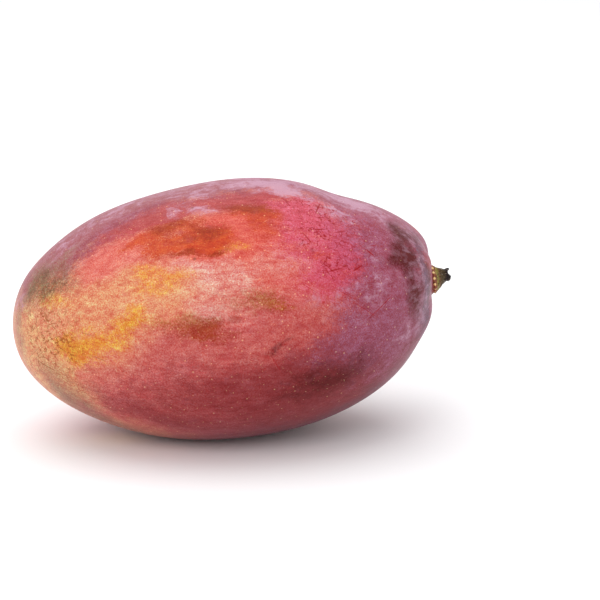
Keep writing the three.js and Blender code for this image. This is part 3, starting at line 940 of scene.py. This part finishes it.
def dotted(graph, colour, place, blotch_noise):
    """A colour with the skin's pale and dark dots, and the mask of the largest pale ones, which stand out."""
    pale_dots = dots(graph, place, PALE_DOTS["spacing"], PALE_DOTS["radius"])
    beside = graph.vector("ADD", place, (0.1, 0.2, 0.3))
    small_dots = dots(graph, beside, SMALL_DOTS["spacing"], SMALL_DOTS["radius"])
    colour = graph.mix(pale_dots, colour, DOT_LIGHT, "ADD")
    colour = graph.mix(graph.math("MULTIPLY", small_dots, SMALL_DOTS["share"]), colour, DOT_LIGHT, "ADD")
    beside = graph.vector("ADD", place, (0.3, 0.1, 0.2))
    dark_dots = dots(graph, beside, DARK_DOTS["spacing"], DARK_DOTS["radius"])
    dark_dots = graph.math("MULTIPLY", dark_dots, graph.step(blotch_noise, *DARK_DOT_BLOTCHES))
    return graph.mix(dark_dots, colour, DARK_DOT_SHADE, "MULTIPLY"), pale_dots


def scratched(graph, colour, seen, place):
    """A colour with the skin's single scratches and blemishes."""
    red_lines = line_mask(graph, seen, place, RED_LINES, "red_lines")
    brown_lines = line_mask(graph, seen, place, BROWN_LINES, "brown_lines")
    blemishes = graph.sum_of("blemishes", place, BLEMISH_MARKS, seen)
    colour = graph.mix(red_lines, colour, RED_LINE_COLOUR)
    colour = graph.mix(brown_lines, colour, BROWN_LINE_COLOUR)
    return graph.mix(graph.math("MULTIPLY", blemishes, 0.6, clamp=True), colour, BLEMISH_COLOUR)


def make_skin(seen, foot):
    """The fruit's skin: layers of paint, speckle, dots, bloom and marks, with gloss and relief to match."""
    material, graph, shader, place = new_material("mango_skin")
    wander = graph.noise(place, WANDER["size"] * MM, detail=4, roughness=0.6, colour=True)
    wander = centred_vector(graph, wander)
    warped = graph.vector("ADD", place, graph.vector("SCALE", wander, scale=WANDER["reach"] * MM))
    grain = graph.vector("MULTIPLY", place, GRAIN_STRETCH)
    streaky = graph.vector("MULTIPLY", place, STREAKY_STRETCH)
    drawn = {"grain": grain, "streaky": streaky, "even": place}
    blotch_noise = graph.noise(grain, BLOTCH["size"] * MM, BLOTCH["detail"], BLOTCH["roughness"])
    fine_noise = graph.noise(place, FINE_NOISE["size"] * MM, FINE_NOISE["detail"], FINE_NOISE["roughness"])
    coarse = centred(graph, blotch_noise)
    fine = centred(graph, fine_noise)

    colour = base_colour(graph, warped)
    for layer in LAYERS:
        mask = layer_mask(graph, seen, warped, coarse, fine, layer)
        colour = graph.mix(mask, colour, layer["colour"])
    colour = speckled(graph, colour, blotch_noise, BLOTCH)
    for item in SPECKLES:
        noise = graph.noise(drawn[item["drawn"]], item["size"] * MM, item["detail"], item["roughness"])
        colour = speckled(graph, colour, noise, item)

    # The bloom, partly painted reflection and highlight on top, laid over the paint.
    bloom = bloom_and_reflection_mask(graph, seen, warped, place, foot, fine)
    colour = graph.mix(bloom, colour, BLOOM_AND_REFLECTION_COLOUR)
    broken_lines = cracks(graph, place, CRACKS["spacing"], CRACKS["width"])
    apex_cracks = crack_mask(graph, seen, warped, broken_lines, "apex_cracks", APEX_CRACK_MARKS)
    red_cracks = crack_mask(graph, seen, warped, broken_lines, "red_cracks", RED_CRACK_MARKS)
    apex_share = graph.math("MULTIPLY", apex_cracks, CRACKS["apex_share"])
    colour = graph.mix(apex_share, colour, BROWN_LINE_COLOUR)
    red_share = graph.math("MULTIPLY", red_cracks, CRACKS["red_share"])
    colour = graph.mix(red_share, colour, RED_LINE_COLOUR)
    colour, pale_dots = dotted(graph, colour, place, blotch_noise)
    colour = scratched(graph, colour, seen, place)

    graph.put(shader.inputs["Base Color"], colour)
    gloss = graph.math("MULTIPLY_ADD", coarse, 0.5, 0.4)
    gloss = graph.math("MULTIPLY_ADD", bloom, 0.3, gloss)
    graph.put(shader.inputs["Roughness"], graph.math("MULTIPLY_ADD", pale_dots, 0.15, gloss))
    for name, value in SKIN_SHINE.items():
        shader.inputs[name].default_value = value
    shader.inputs["Sheen Tint"].default_value = SHEEN_TINT

    height = graph.math("MULTIPLY_ADD", pale_dots, 0.4, graph.math("MULTIPLY", fine_noise, 0.4))
    height = graph.math("MULTIPLY_ADD", coarse, 0.8, height)
    height = graph.math("MULTIPLY_ADD", graph.math("MAXIMUM", apex_cracks, red_cracks), -0.5, height)
    add_bump(graph, shader, height, 0.12, 0.6)
    return material


def add_bump(graph, shader, height, distance, strength):
    """Relief from a height: distance is in millimetres for a height of 1."""
    bump = graph.tree.nodes.new("ShaderNodeBump")
    bump.inputs["Strength"].default_value = strength
    bump.inputs["Distance"].default_value = distance * MM
    graph.put(bump.inputs["Height"], height)
    graph.put(shader.inputs["Normal"], bump.outputs["Normal"])


# The stalk's colours

STALK_BAND = [
    (-1.0, srgb(120, 48, 44)),
    (0.2, srgb(142, 66, 48)),
    (0.9, srgb(150, 84, 52)),
    (1.3, srgb(116, 56, 44)),
    (1.7, srgb(158, 132, 66)),
    (2.2, srgb(122, 116, 50)),
    (2.6, srgb(112, 74, 44)),
    (3.2, srgb(78, 58, 24)),
    (4.5, srgb(62, 46, 20)),
    (5.2, srgb(34, 18, 18)),
    (6.9, srgb(16, 8, 10)),
]
WART_COLOUR = srgb(250, 212, 146)
WART_PAINT_RADIUS = 0.62
GLINT_COLOUR = srgb(150, 132, 116)
BARK_SHADE = srgb(24, 14, 8)


def wart_mask(graph, place):
    """Where the warts round the collar are."""
    x, y, z = graph.split(place)
    turn = graph.math("ARCTAN2", y, graph.math("MULTIPLY", x, -1.0))
    between = 2 * math.pi / WART_COUNT
    aside = graph.math("SUBTRACT", turn, graph.math("SNAP", graph.math("ADD", turn, between / 2), between))
    aside = graph.math("MULTIPLY", aside, COLLAR_RADIUS * MM)
    above = graph.math("SUBTRACT", z, WART_LEVEL * MM)
    from_wart = graph.vector("LENGTH", graph.join(aside, above, 0.0))
    on_side = graph.step(graph.vector("LENGTH", graph.join(x, y, 0.0)), 4.4 * MM, 4.8 * MM)
    return graph.math("MULTIPLY", graph.step(from_wart, WART_PAINT_RADIUS * MM, 0.3 * MM), on_side)


def make_bark(stalk_place):
    """The stalk's bark: by height from the reddish collar to the black tip, mottled, with cream warts."""
    material, graph, shader, place = new_material("mango_stalk_bark")
    place = graph.vector("SUBTRACT", place, stalk_place.translation)
    axes = [column.to_3d() for column in stalk_place.to_3x3().col]
    place = graph.join(*(graph.vector("DOT_PRODUCT", place, axis) for axis in axes))
    _, _, z = graph.split(place)
    mottle = graph.noise(place, 1.1 * MM, detail=5, roughness=0.7)
    grain = graph.noise(graph.vector("MULTIPLY", place, (1.0, 1.0, 0.3)), 0.7 * MM, detail=4, roughness=0.65)
    spots = graph.noise(graph.vector("ADD", place, (0.1, 0.3, 0.2)), 0.9 * MM, detail=3, roughness=0.6)
    height = graph.math("MULTIPLY_ADD", centred(graph, mottle), 2.0 * MM, z)
    low, high = STALK_BAND[0][0], STALK_BAND[-1][0]
    share = graph.math("DIVIDE", graph.math("SUBTRACT", height, low * MM), (high - low) * MM, clamp=True)
    colour = graph.ramp(share, [((level - low) / (high - low), tint) for level, tint in STALK_BAND])
    colour = graph.mix(graph.step(grain, 0.5, 0.66, 0.0, 0.8), colour, BARK_SHADE)
    up_cone = graph.step(z, 2.4 * MM, 3.2 * MM)
    glints = graph.math("MULTIPLY", graph.step(spots, 0.57, 0.68, 0.0, 0.8), up_cone)
    colour = graph.mix(glints, colour, GLINT_COLOUR)
    warts = wart_mask(graph, place)
    colour = graph.mix(warts, colour, WART_COLOUR)

    graph.put(shader.inputs["Base Color"], colour)
    graph.put(shader.inputs["Roughness"], graph.math("MULTIPLY_ADD", grain, 0.4, 0.35))
    shader.inputs["Specular IOR Level"].default_value = 0.3
    add_bump(graph, shader, graph.math("ADD", grain, mottle), 0.25, 0.9)
    return material


# The studio


FLOOR_HALF = 4.0
FLOOR_COLOUR = (0.92, 0.92, 0.93, 1)
SURROUND_STRENGTH = 0.85
LIGHT_TARGET = Vector((0, 0, 0.04))
LIGHTS = [
    {"name": "top_light", "place": (-0.15, 0.2, 1.1), "size": 1.4, "power": 8.0},
    {"name": "front_light", "place": (-0.6, -1.0, 0.9), "size": 0.8, "power": 5.0},
]


def make_floor():
    """A wide white floor."""
    half = FLOOR_HALF
    points = np.array([(-half, -half, 0), (half, -half, 0), (half, half, 0), (-half, half, 0)], float)
    floor = mesh_object("floor", points, np.array([[0, 1, 2, 3]]))
    material, _, shader, _ = new_material("floor_white")
    shader.inputs["Base Color"].default_value = FLOOR_COLOUR
    shader.inputs["Roughness"].default_value = 0.9
    shader.inputs["Specular IOR Level"].default_value = 0.1
    floor.data.materials.append(material)
    floor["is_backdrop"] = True


def make_light(name, place, size, power):
    """A square soft light that faces the fruit."""
    data = bpy.data.lights.new(name, "AREA")
    data.size = size
    data.energy = power
    light = bpy.data.objects.new(name, data)
    light.location = place
    light.rotation_euler = (LIGHT_TARGET - Vector(place)).to_track_quat("-Z", "Y").to_euler()
    bpy.context.scene.collection.objects.link(light)


def make_studio():
    """White surroundings and two soft lights, one high behind the fruit and one in front."""
    world = bpy.data.worlds.new("studio")
    world.use_nodes = True
    world.node_tree.nodes["Background"].inputs["Color"].default_value = (1, 1, 1, 1)
    world.node_tree.nodes["Background"].inputs["Strength"].default_value = SURROUND_STRENGTH
    bpy.context.scene.world = world
    for light in LIGHTS:
        make_light(**light)
    make_floor()
    bpy.context.scene.view_settings.view_transform = "Standard"


camera_place = make_camera()
fruit, fruit_scale, fruit_shift = make_fruit()
stalk, stalk_place = make_stalk(fruit_scale, fruit_shift)
seen = Seen(fruit, camera_place)
fruit.data.materials.append(make_skin(seen, stalk_place.translation))
stalk.data.materials.append(make_bark(stalk_place))
for piece, node, slot in ((fruit, "fruit", "skin"), (stalk, "stalk", "stalk")):
    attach(piece, "root")
    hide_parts(node)
make_studio()

boxes = {"cad": CAD_BOX, "visual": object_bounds()}
boxes = {name: [[float(value) for value in corner] for corner in box] for name, box in boxes.items()}
